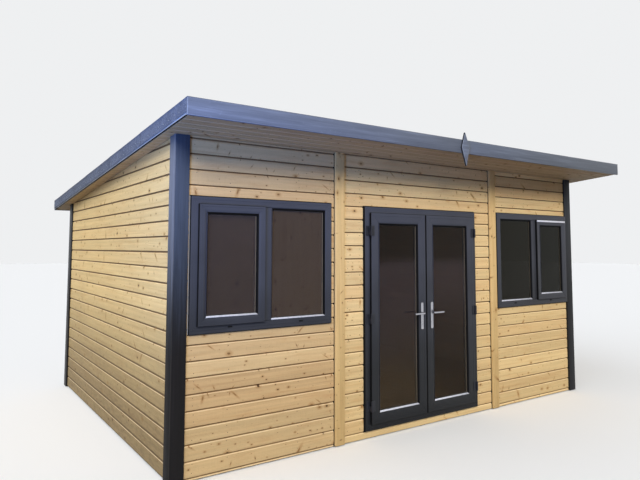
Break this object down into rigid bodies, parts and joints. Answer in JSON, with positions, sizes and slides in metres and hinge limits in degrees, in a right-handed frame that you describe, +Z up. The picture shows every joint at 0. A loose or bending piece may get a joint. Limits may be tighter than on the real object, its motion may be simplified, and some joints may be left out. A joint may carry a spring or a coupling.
{
  "type": "timber summerhouse",
  "caption": "Pent-roofed timber summerhouse with glazed double doors that swing out, a casement window on each side of them, dark corner trims and a diamond finial on the fascia.",
  "frame": {"origin": "on the ground, under the centre of the cladding's footprint, on the underside of the middle floor bearer", "axes": "+X to the right along the front as seen from the garden, +Y from the front to the back, +Z up"},
  "size_m": [5.383, 4.664, 2.7628],
  "materials": {
    "shiplap": "natural planed softwood boards with knots",
    "strip_timber": "natural planed softwood",
    "bearer_timber": "sawn treated softwood",
    "floor_boards": "plain boards",
    "soffit_timber": "natural planed softwood boards",
    "roof_timber": "sawn softwood",
    "dark_trim": "blue-black painted softwood",
    "fascia_paint": "blue-grey painted softwood",
    "roof_felt": "mineral felt",
    "frame_plastic": "anthracite foiled plastic",
    "bead_plastic": "anthracite foiled plastic",
    "window_glass": "clear sealed units",
    "hinge_metal": "black powder coat",
    "chrome": "polished"
  },
  "bodies": {
    "building": {"floor_bearers": "bearer_timber", "floor_deck": "floor_boards", "front_wall_left_panel": "shiplap", "front_wall_beside_door_left": "shiplap", "front_wall_beside_door_right": "shiplap", "front_wall_right_panel": "shiplap", "front_wall_over_door": "shiplap", "board_under_door": "shiplap", "back_wall": "shiplap", "left_wall": "shiplap", "right_wall": "shiplap", "corner_trim_front_left": "dark_trim", "corner_trim_front_right": "dark_trim", "corner_trim_back_left": "dark_trim", "corner_trim_back_right": "dark_trim", "cover_strip_left": "strip_timber", "cover_strip_right": "strip_timber", "left_window_frame": "frame_plastic", "left_window_casement": "frame_plastic", "left_window_glass": "window_glass", "left_window_beads": "bead_plastic", "left_window_handle": "chrome", "right_window_frame": "frame_plastic", "right_window_casement": "frame_plastic", "right_window_glass": "window_glass", "right_window_beads": "bead_plastic", "right_window_handle": "chrome", "door_jamb_left": "frame_plastic", "door_jamb_right": "frame_plastic", "door_head": "frame_plastic", "door_threshold": "frame_plastic", "door_left_frame_hinges": "hinge_metal", "door_right_frame_hinges": "hinge_metal", "rafters": "roof_timber", "roof_deck": "roof_timber", "ceiling": "soffit_timber", "soffit_front": "soffit_timber", "soffit_back": "soffit_timber", "soffit_left": "soffit_timber", "soffit_right": "soffit_timber", "fascia_left": "fascia_paint", "fascia_right": "fascia_paint", "fascia_back": "fascia_paint", "rake_board_left": "fascia_paint", "rake_board_right": "fascia_paint", "finial": "fascia_paint", "roof_felt": "roof_felt"},
    "left_door": {"door_left_leaf": "frame_plastic", "door_left_glass": "window_glass", "door_left_bead": "bead_plastic", "door_left_leaf_hinges": "hinge_metal", "door_left_handle_plates": "chrome"},
    "right_door": {"door_right_leaf": "frame_plastic", "door_right_glass": "window_glass", "door_right_bead": "bead_plastic", "door_right_leaf_hinges": "hinge_metal", "door_right_handle_plates": "chrome"},
    "left_handle": {"door_left_levers": "chrome"},
    "right_handle": {"door_right_levers": "chrome"}
  },
  "joints": [
    {"name": "left_door_swing", "type": "hinge", "parent": "building", "child": "left_door", "pos_m": [-0.683, -1.876, 1.058], "axis": [0, 0, -1], "range_deg": [0, 100]},
    {"name": "right_door_swing", "type": "hinge", "parent": "building", "child": "right_door", "pos_m": [0.709, -1.876, 1.058], "axis": [0, 0, 1], "range_deg": [0, 100]},
    {"name": "left_handle_turn", "type": "hinge", "parent": "left_door", "child": "left_handle", "pos_m": [-0.0525, -1.83, 1.075], "axis": [0, -1, 0], "range_deg": [-40, 40], "stiffness_Nm_per_rad": 6},
    {"name": "right_handle_turn", "type": "hinge", "parent": "right_door", "child": "right_handle", "pos_m": [0.0785, -1.83, 1.075], "axis": [0, 1, 0], "range_deg": [-40, 40], "stiffness_Nm_per_rad": 6}
  ]
}
